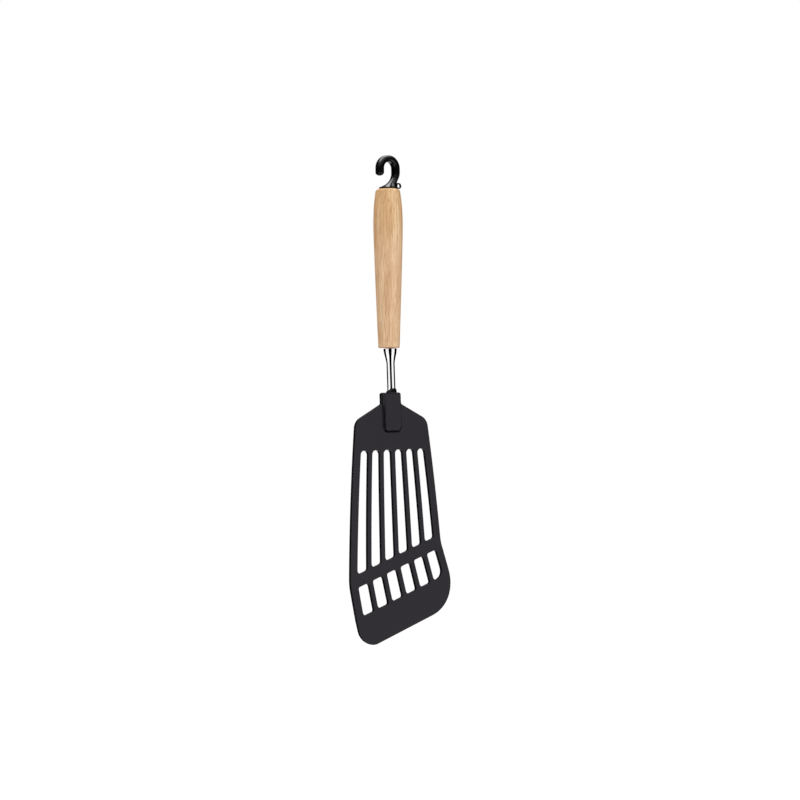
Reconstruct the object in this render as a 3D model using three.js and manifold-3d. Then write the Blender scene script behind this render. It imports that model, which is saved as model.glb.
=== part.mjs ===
// A kitchen turner: a slotted nylon blade on a steel shaft, with a beech handle and a hanging hook.
// Millimetres, +Z up. It hangs by its hook: the origin is the inside top of the hook, the blade points down,
// and the blade's upper face, with the socket, looks towards -Y.

import * as THREE from 'three';
import { mergeVertices } from 'three/addons/utils/BufferGeometryUtils.js';
import Module from 'manifold-3d';

const wasm = await Module();
wasm.setup();

// Driving dimensions, in millimetres and degrees

// Clearance between pieces that seat in or on each other
const fit = 0.25;

// Handle, turned in beech
const handleLength = 114.5;
const handleTopDiameter = 18;
const handleTopRound = 2.6;
const handleTopCrown = 0.6;
const handleSwellDiameter = 21.2;
const handleSwellDrop = 26;
const handleTaperLead = 12;
const handleEndDiameter = 15.6;
const handleEndRound = 1.1;

// Hook, moulded in one piece with its eye, flange and peg
const hookWidth = 4.9;
const hookDepth = 6.8;
const hookGap = 9.2;
const hookCentreHeight = 14.7;
const hookTipDrop = 5.6;
const hookStemHeight = 12;
const hookSquareness = 2.9;
const footSharpness = 5;
const flangeDiameter = 12.8;
const flangeThickness = 0.8;
const pegDiameter = 7;
const pegLength = 16;
const pegChamfer = 0.8;
const eyeHoleDiameter = 2.7;
const eyeWall = 0.8;
const eyeDepth = 1.8;
const eyeReach = 9.6;
const eyeHeight = 2.6;

// Shaft, one steel rod: tang in the handle, flare, rod, flattened spade in the blade
const rodDiameter = 6;
const rodExposed = 32.1;
const flareDiameter = 9.7;
const flareLength = 11.5;
const tangDiameter = 5;
const tangLength = 56;
const tangChamfer = 0.8;
const shaftLean = 2.5;
const leanDepth = 28.5;
const spadeWidth = 10.4;
const spadeNeckWidth = 7.8;
const spadeThickness = 1.6;
const spadeLength = 25.45;
const spadeCornerRadius = 3;
const spadeHoleDiameter = 4;
const spadeHoleDrop = 17.65;
const spadeTransition = 3.4;

// Blade, one nylon moulding, measured on its upper face down from the top of the neck
const plateThickness = 2.4;
const bladeLean = 0.45;
const shaftStandoff = 0.6;
const neckLength = 8.28;
const neckEar = 1.2;
const neckCornerRadius = 1.8;
const neckFillet = 1.6;
const shoulderSlope = 26.9;
const shoulderWidth = 63.9;
const shoulderRadius = 9;
const creaseDrop = 122.05;
const creaseWidth = 82.2;
const tipWidth = 86.4;
const diagonal = 17.6;
const lipBend = 19.8;
const lipBendRadius = 22;
const lipEdgeThickness = 1;
const frontMargin = 21.4;
const shortCornerRadius = 32;
const longCornerRadius = 10;

// Slots: a row above the bend and a row below it, between bars and two rims. The top of a long slot is round,
// apart from a short flat between its two arcs.
const slotPairs = 3;
const slotTopDrop = 41.15;
const slotTopFlat = 0.28;
const slotCornerRadius = 2.3;
const shortSlotLength = 19.8;
const shortSlotCornerRadius = 2;
const shortSlotOuterRadius = 8;
const barWidth = 3.55;
const rimWidth = 6;
const creaseBand = 8.4;

// Socket raised on the upper face, and the collar that wraps the shaft where it goes in
const collarWall = 0.35;
const collarRise = 2.9;
const collarSlant = 28;
const socketSideWall = 2.15;
const socketFrontWall = 0.55;
const socketEndWall = 3;
const socketDraft = 0.3;
const socketCornerRadius = 3;
const socketEdgeRound = 0.65;

// Fineness of the facets
const handleSides = 40;
const hookSides = 20;
const shaftSides = 24;
const arcStep = THREE.MathUtils.degToRad(12);
const curveSteps = 8;
const roundSteps = 5;
const bendSteps = 6;
const hookArcSteps = 20;
const hookFootSteps = 14;

// The longest share of a corner's radius that its arc takes up along a side
const longestTangent = 1.5;

// The largest share of a side that the arcs at its two ends take up together
const arcRoom = 0.99;

// Materials

const beech = new THREE.MeshStandardMaterial({ color: 0xd8b28b, roughness: 0.55, metalness: 0 });
const steel = new THREE.MeshStandardMaterial({ color: 0xd9dadc, roughness: 0.08, metalness: 1 });
const nylon = new THREE.MeshStandardMaterial({ color: 0x2f2d32, roughness: 0.5, metalness: 0 });
const hookPlastic = new THREE.MeshStandardMaterial({ color: 0x191a1b, roughness: 0.3, metalness: 0 });

// Solids: welding, booleans and lofts

const weldDistance = 1e-4;

function weld(geometry) {
  const bare = geometry.clone();
  bare.deleteAttribute('normal');
  bare.deleteAttribute('uv');
  const merged = mergeVertices(bare, weldDistance);
  const corners = merged.index.array;
  const kept = [];
  for (let i = 0; i < corners.length; i += 3) {
    const [a, b, c] = corners.slice(i, i + 3);
    if (a !== b && b !== c && c !== a) {
      kept.push(a, b, c);
    }
  }
  merged.setIndex(kept);
  return merged;
}

function solid(geometry) {
  const welded = weld(geometry);
  const vertProperties = new Float32Array(welded.attributes.position.array);
  const triVerts = new Uint32Array(welded.index.array);
  return new wasm.Manifold(new wasm.Mesh({ numProp: 3, vertProperties, triVerts }));
}

function piece(name, body, material) {
  const { vertProperties, triVerts } = body.getMesh();
  const geometry = new THREE.BufferGeometry();
  geometry.setAttribute('position', new THREE.BufferAttribute(new Float32Array(vertProperties), 3));
  geometry.setIndex(new THREE.BufferAttribute(new Uint32Array(triVerts), 1));
  geometry.computeVertexNormals();
  const mesh = new THREE.Mesh(geometry, material);
  mesh.name = name;
  return mesh;
}

// A closed solid through rings of equal point count, each ring running the same way round as the others.
// The rings go anticlockwise seen from the first ring's outer side.
function loft(rings) {
  const count = rings[0].length;
  const positions = rings.flat().flatMap((point) => point.toArray());
  const faces = [];
  for (let ring = 0; ring < rings.length - 1; ring++) {
    for (let i = 0; i < count; i++) {
      const next = (i + 1) % count;
      const a = ring * count + i;
      const b = ring * count + next;
      const c = a + count;
      const d = b + count;
      faces.push(a, c, b, b, c, d);
    }
  }
  const last = (rings.length - 1) * count;
  for (let i = 1; i < count - 1; i++) {
    faces.push(0, i, i + 1);
    faces.push(last, last + i + 1, last + i);
  }
  const geometry = new THREE.BufferGeometry();
  geometry.setAttribute('position', new THREE.Float32BufferAttribute(positions, 3));
  geometry.setIndex(faces);
  return geometry;
}

// Outlines

// The points of a polygon whose corners [x, y, radius] are rounded by arcs. Where a side is too short for the
// arcs at its two ends, both get smaller.
function roundCorners(corners) {
  const turns = corners.map(([x, y, radius], i) => {
    const corner = new THREE.Vector2(x, y);
    const before = new THREE.Vector2(...corners.at(i - 1)).sub(corner);
    const after = new THREE.Vector2(...corners[(i + 1) % corners.length]).sub(corner);
    const side = after.length();
    const halfAngle = Math.acos(before.normalize().dot(after.normalize())) / 2;
    const tangent = radius ? radius / Math.tan(halfAngle) : 0;
    return { corner, before, after, side, halfAngle, tangent };
  });
  const sideShares = turns.map(({ side, tangent }, i) => {
    const wanted = tangent + turns[(i + 1) % turns.length].tangent;
    return Math.min(1, (arcRoom * side) / wanted);
  });
  const points = [];
  turns.forEach(({ corner, before, after, halfAngle }, i) => {
    const radius = corners[i][2] * Math.min(sideShares.at(i - 1), sideShares[i]);
    if (!radius) {
      points.push(corner);
      return;
    }
    const bisector = before.clone().add(after).normalize();
    const centre = corner.clone().addScaledVector(bisector, radius / Math.sin(halfAngle));
    const start = corner.clone().addScaledVector(before, radius / Math.tan(halfAngle)).sub(centre);
    const turn = Math.PI - 2 * halfAngle;
    const way = Math.sign(before.cross(after)) * -1;
    const steps = Math.max(2, Math.ceil(turn / arcStep));
    for (let step = 0; step <= steps; step++) {
      const arm = start.clone().rotateAround(new THREE.Vector2(), (way * turn * step) / steps);
      points.push(centre.clone().add(arm));
    }
  });
  return points;
}

const radians = THREE.MathUtils.degToRad;

// Frames: the head leans on the handle, and the blade leans on the shaft

const hookInnerRadius = hookGap / 2;
const hookArcRadius = hookInnerRadius + hookWidth / 2;
const handleTop = -(hookCentreHeight + hookInnerRadius);
const handleEnd = handleTop - handleLength;

const turner = new THREE.Group();

const head = new THREE.Group();
head.position.z = handleEnd + leanDepth;
head.rotation.x = -radians(shaftLean);
head.updateMatrix();
turner.add(head);

const neckDrop = leanDepth + rodExposed;
const bladeFrame = new THREE.Group();
bladeFrame.position.z = -neckDrop;
bladeFrame.rotation.x = -radians(bladeLean);
bladeFrame.updateMatrix();
head.add(bladeFrame);

// Shaft: rings along its axis, measured down from where it crosses the handle's axis

const rodRadius = rodDiameter / 2;
const flareRadius = flareDiameter / 2;
const tangRadius = tangDiameter / 2;
const flareDrop = leanDepth + fit + flareRadius * Math.tan(radians(shaftLean));
const tangTop = leanDepth - tangLength;
const spadeSpread = (spadeWidth - spadeThickness) / 2;
const spadeEnd = neckDrop + spadeLength;

// A ring of the shaft: round where spread is 0, and flattened to a wide oval where it isn't
function shaftRing(drop, radius, spread, margin) {
  const centre = new THREE.Vector3(0, 0, -Math.min(drop, neckDrop));
  const beyondNeck = Math.max(0, drop - neckDrop);
  const lean = drop > neckDrop ? bladeFrame.rotation : new THREE.Euler();
  const ring = [];
  for (let i = 0; i < shaftSides; i++) {
    const angle = ((i + 0.5) * 2 * Math.PI) / shaftSides;
    const x = spread * Math.sign(Math.cos(angle)) + (radius + margin) * Math.cos(angle);
    const y = (radius + margin) * Math.sin(angle);
    ring.push(new THREE.Vector3(x, y, -beyondNeck).applyEuler(lean).add(centre));
  }
  return ring;
}

function flareRings() {
  const rings = [];
  for (let step = 0; step <= curveSteps; step++) {
    const along = step / curveSteps;
    const radius = THREE.MathUtils.lerp(flareRadius, rodRadius, THREE.MathUtils.smoothstep(along, 0, 1));
    rings.push(shaftRing(flareDrop + along * flareLength, radius, 0, 0));
  }
  return rings;
}

// The rod's change to a flat spade: it thins and widens from the front of the collar's mouth to the top of
// the neck, and reaches its full width below that
function changeRings(margin) {
  const flatRadius = spadeThickness / 2;
  return [
    shaftRing(neckDrop - collarRise, rodRadius, 0, margin),
    shaftRing(neckDrop, flatRadius, spadeNeckWidth / 2 - flatRadius, margin),
    shaftRing(neckDrop + spadeTransition, flatRadius, spadeSpread, margin),
  ];
}

// The spade's rounded tip
function tipRings(margin) {
  const rings = [];
  for (let step = 0; step <= roundSteps; step++) {
    const angle = (step / roundSteps) * (Math.PI / 2);
    const drop = spadeEnd + margin - spadeCornerRadius * (1 - Math.sin(angle));
    const spread = spadeSpread - spadeCornerRadius * (1 - Math.cos(angle));
    rings.push(shaftRing(drop, spadeThickness / 2, spread, margin));
  }
  return rings;
}

// A pin through the spade, square to the blade, in the head's frame
function spadePin(diameter) {
  const pin = new THREE.CylinderGeometry(diameter / 2, diameter / 2, spadeWidth, shaftSides);
  pin.translate(0, 0, -spadeHoleDrop);
  pin.applyMatrix4(bladeFrame.matrix);
  return solid(pin);
}

function makeShaft() {
  const rings = [
    shaftRing(tangTop, tangRadius - tangChamfer, 0, 0),
    shaftRing(tangTop + tangChamfer, tangRadius, 0, 0),
    shaftRing(flareDrop, tangRadius, 0, 0),
    ...flareRings(),
    ...changeRings(0),
    ...tipRings(0),
  ];
  return piece('shaft', solid(loft(rings)).subtract(spadePin(spadeHoleDiameter)), steel);
}

// A ring round the rod, clear above the collar's mouth
function mouthRing(margin) {
  return shaftRing(neckDrop - collarRise - rodDiameter, rodRadius, 0, margin);
}

// A solid made in the head's frame, carried into the blade's frame
function inBladeFrame(body) {
  return body.transform(bladeFrame.matrix.clone().invert().toArray());
}

// The hollow that the shaft's end leaves in the blade, with the nylon that keys through the spade's hole
function socketHollow() {
  const key = spadePin(spadeHoleDiameter - 2 * fit);
  const end = loft([mouthRing(fit), ...changeRings(fit), ...tipRings(fit)]);
  return inBladeFrame(solid(end).subtract(key));
}

// The collar: a skin that follows the shaft into the socket. Its mouth is cut obliquely, high in front of the
// shaft and low behind it.
function collar() {
  const margin = fit + collarWall;
  const skin = inBladeFrame(solid(loft([mouthRing(margin), ...changeRings(margin), ...tipRings(margin)])));
  const slant = radians(collarSlant);
  const cutSize = 2 * (collarRise + rodDiameter);
  const cut = new THREE.BoxGeometry(cutSize, cutSize, cutSize);
  cut.translate(0, 0, cutSize / 2).rotateX(-slant);
  cut.translate(0, 0, collarRise - (rodRadius + margin) * Math.tan(slant));
  return skin.subtract(solid(cut));
}

// Blade: a bent sheet, cut to the outline and slots along the direction in which the mould opens

const slope = radians(diagonal);
const bend = radians(lipBend);
const frontDistance = creaseBand / 2 + shortSlotLength + frontMargin;
const frontDrop = creaseDrop + frontDistance / Math.cos(slope);
const socketHalf = spadeWidth / 2 + fit + socketSideWall;
const neckHalf = socketHalf + neckEar;
const shoulderHalf = shoulderWidth / 2;
const shoulderDrop = neckLength + (shoulderHalf - neckHalf) * Math.tan(radians(shoulderSlope));

// Half the blade's width at a drop: a shallow curve through its widths at the shoulder, crease and front
function halfWidth(drop) {
  const a = (drop - creaseDrop) / (frontDrop - shoulderDrop);
  const b = (drop - shoulderDrop) / (frontDrop - shoulderDrop);
  const c = (frontDrop - creaseDrop) / (frontDrop - shoulderDrop);
  const chord = THREE.MathUtils.lerp(shoulderHalf, tipWidth / 2, b);
  const middleChord = THREE.MathUtils.lerp(shoulderHalf, tipWidth / 2, 1 - c);
  const bow = creaseWidth / 2 - middleChord;
  return chord + (bow * b * (c - a)) / (c * (1 - c));
}

// The drop, at a distance x from the middle, of a line parallel to the crease and square-on below it
function diagonalDrop(x, belowCrease) {
  return creaseDrop + belowCrease / Math.cos(slope) - x * Math.tan(slope);
}

// The drop at which a line of that kind meets a curve x(drop)
function meetingDrop(curve, belowCrease) {
  let drop = diagonalDrop(0, belowCrease);
  for (let i = 0; i < curveSteps; i++) {
    drop = diagonalDrop(curve(drop), belowCrease);
  }
  return drop;
}

// A point of the unbent pattern, as seen along the mould's opening: the lip is foreshortened by its bend
function plan(point) {
  const belowCrease = point.x * Math.sin(slope) + (point.y - creaseDrop) * Math.cos(slope);
  const lost = Math.max(0, belowCrease) * (1 - Math.cos(bend));
  return new THREE.Vector2(point.x - lost * Math.sin(slope), -(point.y - lost * Math.cos(slope)));
}

// Corners down a curve between two drops, with rounded ends. The points between are clear of the ends' arcs,
// and a straight stretch has none.
function downCurve(curve, from, to, fromRadius, toRadius) {
  const corners = [[curve(from), from, fromRadius]];
  for (let step = 1; step < curveSteps; step++) {
    const drop = THREE.MathUtils.lerp(from, to, step / curveSteps);
    const chord = THREE.MathUtils.lerp(curve(from), curve(to), step / curveSteps);
    const bowed = Math.abs(curve(drop) - chord) > weldDistance;
    const clearAbove = drop - from > longestTangent * fromRadius;
    const clearBelow = to - drop > longestTangent * toRadius;
    if (bowed && clearAbove && clearBelow) {
      corners.push([curve(drop), drop, 0]);
    }
  }
  corners.push([curve(to), to, toRadius]);
  return corners;
}

function bladeOutline() {
  const right = halfWidth;
  const left = (drop) => -halfWidth(drop);
  const frontRight = meetingDrop(right, frontDistance);
  const frontLeft = meetingDrop(left, frontDistance);
  const neckRight = [
    [neckHalf, 0, neckCornerRadius],
    [neckHalf, neckLength, neckFillet],
  ];
  const neckLeft = neckRight.map(([x, drop, radius]) => [-x, drop, radius]).reverse();
  return [
    ...neckRight,
    ...downCurve(right, shoulderDrop, frontRight, shoulderRadius, shortCornerRadius),
    ...downCurve(left, shoulderDrop, frontLeft, shoulderRadius, longCornerRadius).reverse(),
    ...neckLeft,
  ];
}

// An edge line of a bar, or of a rim: bars are counted from the middle one, and edge is -1 or 1
function barLine(number, edge) {
  return (drop) => {
    const pitch = (halfWidth(drop) - rimWidth + barWidth / 2) / slotPairs;
    return number * pitch + (edge * barWidth) / 2;
  };
}

// A slot between two lines, closed above and below by drops given for each line
function slotCorners(left, right, top, bottom, radii) {
  return [
    ...downCurve(right, top(right), bottom(right), radii[0], radii[1]),
    ...downCurve(left, top(left), bottom(left), radii[3], radii[2]).reverse(),
  ];
}

function slotOutlines() {
  const outlines = [];
  const level = () => slotTopDrop;
  const below = (distance) => (curve) => meetingDrop(curve, distance);
  for (let number = -slotPairs; number < slotPairs; number++) {
    const left = barLine(number, 1);
    const right = barLine(number + 1, -1);
    const topRadius = (right(slotTopDrop) - left(slotTopDrop) - slotTopFlat) / 2;
    const longRadii = [topRadius, slotCornerRadius, slotCornerRadius, topRadius];
    outlines.push(slotCorners(left, right, level, below(-creaseBand / 2), longRadii));
    const outer = number === slotPairs - 1 ? shortSlotOuterRadius : shortSlotCornerRadius;
    const shortRadii = [shortSlotCornerRadius, outer, shortSlotCornerRadius, shortSlotCornerRadius];
    const shortTop = below(creaseBand / 2);
    const shortBottom = below(creaseBand / 2 + shortSlotLength);
    outlines.push(slotCorners(left, right, shortTop, shortBottom, shortRadii));
  }
  return outlines;
}

// The sheet reaches past every corner of the blade, to be cut to its outline
const sheetReach = 2 * frontDrop;

// The sheet's section across the crease: flat plate, bend, and a lip that thins towards its front edge
function sheetProfile() {
  const arcStart = -lipBendRadius * Math.tan(bend / 2);
  const upper = [new THREE.Vector2(-sheetReach, 0)];
  const lower = [new THREE.Vector2(-sheetReach, -plateThickness)];
  const along = new THREE.Vector2(Math.cos(bend), Math.sin(bend));
  const inward = new THREE.Vector2(Math.sin(bend), -Math.cos(bend));
  for (let step = 0; step <= bendSteps; step++) {
    const angle = (bend * step) / bendSteps;
    const direction = new THREE.Vector2(Math.sin(angle), -Math.cos(angle));
    const centre = new THREE.Vector2(arcStart, lipBendRadius);
    upper.push(centre.clone().addScaledVector(direction, lipBendRadius));
    lower.push(centre.clone().addScaledVector(direction, lipBendRadius + plateThickness));
  }
  const stations = [
    [frontDistance - frontMargin, plateThickness],
    [frontDistance, lipEdgeThickness],
    [frontDistance + frontMargin, lipEdgeThickness],
  ];
  stations.forEach(([distance, thickness]) => {
    const onTop = along.clone().multiplyScalar(distance);
    upper.push(onTop);
    lower.push(onTop.clone().addScaledVector(inward, thickness));
  });
  return [...upper, ...lower.reverse()];
}

function bentSheet() {
  const section = new THREE.Shape(sheetProfile());
  const sheet = new THREE.ExtrudeGeometry(section, { depth: 2 * sheetReach, bevelEnabled: false });
  sheet.translate(0, 0, -sheetReach);
  const acrossCrease = new THREE.Vector3(Math.sin(slope), 0, -Math.cos(slope));
  const outward = new THREE.Vector3(0, -1, 0);
  const alongCrease = acrossCrease.clone().cross(outward);
  const placed = new THREE.Matrix4().makeBasis(acrossCrease, outward, alongCrease);
  placed.setPosition(0, 0, -creaseDrop);
  return solid(sheet.applyMatrix4(placed));
}

// A prism of an outline in the unbent pattern, along the mould's opening, deeper than the lip rises
function prism(corners) {
  const outline = new THREE.Shape(roundCorners(corners).map(plan));
  const body = new THREE.ExtrudeGeometry(outline, { depth: 2 * frontDistance, bevelEnabled: false });
  body.translate(0, 0, -frontDistance);
  return solid(body.rotateX(Math.PI / 2));
}

// The raised socket: rings from inside the plate outwards, drawn in by its draft and its rounded edge
function raisedSocket() {
  const height = shaftStandoff + spadeThickness / 2 + fit + socketFrontWall;
  const length = spadeLength + fit + socketEndWall;
  const ring = (rise, inset) => {
    const rightHalf = [
      [socketHalf - inset, inset, socketEdgeRound],
      [socketHalf - inset, length - inset, socketCornerRadius - inset],
    ];
    const leftHalf = rightHalf.map(([x, drop, radius]) => [-x, drop, radius]).reverse();
    return roundCorners([...rightHalf, ...leftHalf]).map(
      (point) => new THREE.Vector3(point.x, -rise, -point.y),
    );
  };
  const foot = ring(-plateThickness / 2, 0);
  const shoulder = ring(height - socketEdgeRound, socketDraft);
  const crown = ring(height, socketDraft + socketEdgeRound);
  return solid(loft([foot, shoulder, crown]));
}

function makeBlade() {
  const cutSheet = bentSheet().intersect(prism(bladeOutline()));
  const plate = slotOutlines().reduce((sheet, slot) => sheet.subtract(prism(slot)), cutSheet);
  const moulding = plate.add(raisedSocket()).translate([0, shaftStandoff, 0]).add(collar());
  return piece('blade', moulding.subtract(socketHollow()), nylon);
}

// Handle: a turned profile, bored from both ends

function handleProfile() {
  const topRadius = handleTopDiameter / 2;
  const swellRadius = handleSwellDiameter / 2;
  const endRadius = handleEndDiameter / 2;
  const flangeSeat = flangeDiameter / 2 + fit;
  const profile = new THREE.Path();
  profile.moveTo(0, 0);
  profile.lineTo(flangeSeat, 0);
  profile.quadraticCurveTo(topRadius, -handleTopCrown, topRadius, -handleTopRound);
  profile.quadraticCurveTo(swellRadius, -handleSwellDrop / 2, swellRadius, -handleSwellDrop);
  const taperStart = -(handleSwellDrop + handleTaperLead);
  profile.quadraticCurveTo(swellRadius, taperStart, endRadius, handleEndRound - handleLength);
  profile.quadraticCurveTo(endRadius, -handleLength, endRadius - handleEndRound, -handleLength);
  profile.lineTo(0, -handleLength);
  return profile.getPoints(curveSteps).reverse();
}

// A blind round hole of a given depth, from just above z = 0 downwards
function blindHole(diameter, depth) {
  const overlap = handleTopRound;
  const hole = new THREE.CylinderGeometry(diameter / 2, diameter / 2, depth + overlap, shaftSides);
  hole.rotateX(Math.PI / 2);
  hole.translate(0, 0, (overlap - depth) / 2);
  return hole;
}

function makeHandle() {
  const turned = new THREE.LatheGeometry(handleProfile(), handleSides);
  turned.rotateX(Math.PI / 2);
  turned.translate(0, 0, handleTop);
  const pegHole = blindHole(pegDiameter + 2 * fit, pegLength + fit).translate(0, 0, handleTop);
  const tangHole = blindHole(tangDiameter + 2 * fit, tangLength + fit).rotateX(Math.PI);
  tangHole.translate(0, 0, -leanDepth).applyMatrix4(head.matrix);
  return piece('handle', solid(turned).subtract(solid(pegHole)).subtract(solid(tangHole)), beech);
}

// Hook: rings from the tip, up the arm, over the arc, down the stem, out to the flange and down the peg

// A ring of the hook, a rounded oblong across the path, which runs at an angle from straight up
function hookRing(x, z, angle, width, depth, squareness) {
  const ring = [];
  const power = 2 / squareness;
  const across = new THREE.Vector3(Math.cos(angle), 0, -Math.sin(angle));
  for (let i = 0; i < hookSides; i++) {
    const turn = (-i * 2 * Math.PI) / hookSides;
    const side = Math.sign(Math.cos(turn)) * Math.abs(Math.cos(turn)) ** power;
    const front = Math.sign(Math.sin(turn)) * Math.abs(Math.sin(turn)) ** power;
    const point = new THREE.Vector3(x, (front * depth) / 2, z + handleTop);
    ring.push(point.addScaledVector(across, (side * width) / 2));
  }
  return ring;
}

const roundSquareness = 2;

function armRings() {
  const rings = [];
  const tipZ = hookCentreHeight - hookTipDrop;
  const tipRadius = hookWidth / 2;
  for (let step = 0; step < roundSteps; step++) {
    const angle = ((step + 0.5) / roundSteps) * (Math.PI / 2);
    const size = Math.sin(angle);
    const z = tipZ + tipRadius * (1 - Math.cos(angle));
    rings.push(hookRing(-hookArcRadius, z, 0, hookWidth * size, hookDepth * size, hookSquareness));
  }
  return rings;
}

function arcRings() {
  const rings = [];
  for (let step = 0; step <= hookArcSteps; step++) {
    const angle = (Math.PI * step) / hookArcSteps;
    const x = -hookArcRadius * Math.cos(angle);
    const z = hookCentreHeight + hookArcRadius * Math.sin(angle);
    rings.push(hookRing(x, z, angle, hookWidth, hookDepth, hookSquareness));
  }
  return rings;
}

// The stem's foot swings in to the handle's axis and flares out to the flange
function footRings() {
  const rings = [];
  const flangeTop = fit + flangeThickness;
  for (let step = 0; step <= hookFootSteps; step++) {
    const up = (1 - step / hookFootSteps) ** 2;
    const down = 1 - up;
    const flare = down ** footSharpness;
    const x = hookArcRadius * (1 - down ** 2);
    const z = THREE.MathUtils.lerp(flangeTop, hookStemHeight, up);
    const width = THREE.MathUtils.lerp(hookWidth, flangeDiameter, flare);
    const depth = THREE.MathUtils.lerp(hookDepth, flangeDiameter, flare);
    const squareness = THREE.MathUtils.lerp(hookSquareness, roundSquareness, flare);
    rings.push(hookRing(x, z, Math.PI, width, depth, squareness));
  }
  return rings;
}

function pegRings() {
  const disc = (z, diameter) => hookRing(0, z, Math.PI, diameter, diameter, roundSquareness);
  return [
    disc(fit, flangeDiameter),
    disc(fit, pegDiameter),
    disc(pegChamfer - pegLength, pegDiameter),
    disc(-pegLength, pegDiameter - 2 * pegChamfer),
  ];
}

// A flat lug with a hole through it, standing out from the foot of the stem
function makeEye() {
  const eyeRadius = eyeHoleDiameter / 2 + eyeWall;
  const root = hookArcRadius / 2;
  const lug = new THREE.Shape();
  lug.absarc(eyeReach, eyeHeight, eyeRadius, -Math.PI / 2, Math.PI / 2, false);
  lug.lineTo(root, eyeHeight + eyeRadius);
  lug.lineTo(root, eyeHeight - eyeRadius);
  lug.closePath();
  const hole = new THREE.Path().absarc(eyeReach, eyeHeight, eyeHoleDiameter / 2, 0, 2 * Math.PI, true);
  lug.holes.push(hole);
  const shape = { depth: eyeDepth, bevelEnabled: false, curveSegments: curveSteps };
  const eye = new THREE.ExtrudeGeometry(lug, shape);
  eye.translate(0, 0, -eyeDepth / 2).rotateX(Math.PI / 2).translate(0, 0, handleTop);
  return solid(eye);
}

function makeHook() {
  const bar = loft([...armRings(), ...arcRings(), ...footRings(), ...pegRings()]);
  return piece('hook', solid(bar).add(makeEye()), hookPlastic);
}

// Assembly

turner.add(makeHook());
turner.add(makeHandle());
head.add(makeShaft());
bladeFrame.add(makeBlade());

export default turner;
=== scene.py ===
"""The looks of a slotted kitchen turner: nylon blade, steel shaft, beech handle and hanging hook.

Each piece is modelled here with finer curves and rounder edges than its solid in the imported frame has, and
stands in that solid's place. Sizes are in millimetres until a piece is placed, and the placed scene is in
metres.
"""

import math
from collections import defaultdict

import bmesh
import bpy
from mathutils import Matrix, Vector
from mathutils.geometry import delaunay_2d_cdt


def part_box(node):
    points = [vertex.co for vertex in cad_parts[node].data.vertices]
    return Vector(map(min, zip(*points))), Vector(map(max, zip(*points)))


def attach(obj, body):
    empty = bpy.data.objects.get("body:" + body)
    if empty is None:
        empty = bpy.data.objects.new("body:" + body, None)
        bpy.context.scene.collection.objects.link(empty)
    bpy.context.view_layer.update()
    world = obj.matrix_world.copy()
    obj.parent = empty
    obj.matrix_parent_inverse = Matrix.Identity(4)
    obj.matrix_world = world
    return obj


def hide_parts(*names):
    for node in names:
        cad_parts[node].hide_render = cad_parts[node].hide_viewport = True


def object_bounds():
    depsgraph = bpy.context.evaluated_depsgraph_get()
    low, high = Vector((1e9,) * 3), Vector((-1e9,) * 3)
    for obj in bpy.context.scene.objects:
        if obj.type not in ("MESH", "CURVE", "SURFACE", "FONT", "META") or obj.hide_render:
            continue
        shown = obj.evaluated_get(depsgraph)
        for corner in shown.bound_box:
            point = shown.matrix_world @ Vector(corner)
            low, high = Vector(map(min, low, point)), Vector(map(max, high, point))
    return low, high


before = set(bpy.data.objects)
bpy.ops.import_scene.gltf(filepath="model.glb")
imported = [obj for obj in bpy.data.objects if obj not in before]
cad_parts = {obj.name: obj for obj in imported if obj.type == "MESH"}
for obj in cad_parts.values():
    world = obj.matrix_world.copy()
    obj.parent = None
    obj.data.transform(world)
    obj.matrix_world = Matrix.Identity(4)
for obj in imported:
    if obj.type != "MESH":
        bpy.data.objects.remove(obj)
cad_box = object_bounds()

MM = 0.001

# Sizes of the handle, and the clearance between pieces

FIT = 0.25

HANDLE_LOW, HANDLE_HIGH = (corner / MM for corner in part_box("handle"))
HANDLE_TOP = HANDLE_HIGH.z
HANDLE_END = HANDLE_LOW.z
HANDLE_LENGTH = HANDLE_TOP - HANDLE_END
HANDLE_SWELL_RADIUS = HANDLE_HIGH.x
HANDLE_TOP_RADIUS = 9.0
HANDLE_TOP_ROUND = 2.6
HANDLE_TOP_CROWN = 0.6
HANDLE_SWELL_DROP = 26.0
HANDLE_TAPER_LEAD = 12.0
HANDLE_END_RADIUS = 7.8
HANDLE_END_ROUND = 1.1

# Sizes of the hook. Squareness is the exponent of a section's curve: 2 is round, and more is squarer

HOOK_WIDTH = 4.9
HOOK_DEPTH = 6.8
HOOK_ARC_RADIUS = 7.05
HOOK_CENTRE_HEIGHT = 14.7
HOOK_TIP_DROP = 5.6
HOOK_STEM_HEIGHT = 12.0
HOOK_SQUARENESS = 2.9
ROUND_SQUARENESS = 2
FOOT_SHARPNESS = 5.0
FLANGE_DIAMETER = 12.8
FLANGE_THICKNESS = 0.8
FLANGE_EDGE_ROUND = 0.25
PEG_DIAMETER = 7.0
PEG_LENGTH = 16.0
PEG_CHAMFER = 0.8
EYE_HOLE_RADIUS = 1.35
EYE_WALL = 0.8
EYE_DEPTH = 1.8
EYE_REACH = 9.6
EYE_HEIGHT = 2.6
EYE_EDGE_ROUND = 0.3

# Sizes of the shaft

ROD_RADIUS = 3.0
ROD_EXPOSED = 32.1
FLARE_RADIUS = 4.85
FLARE_LENGTH = 11.5
FLARE_EDGE_ROUND = 0.3
TANG_RADIUS = 2.5
TANG_LENGTH = 56.0
TANG_CHAMFER = 0.8
SHAFT_LEAN = math.radians(2.5)
LEAN_DEPTH = 28.5
SPADE_WIDTH = 10.4
SPADE_NECK_WIDTH = 7.8
SPADE_THICKNESS = 1.6
SPADE_LENGTH = 25.45
SPADE_CORNER_RADIUS = 3.0
SPADE_HOLE_DIAMETER = 4.0
SPADE_HOLE_DROP = 17.65
SPADE_TRANSITION = 3.4

# Sizes of the blade's plate

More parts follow.
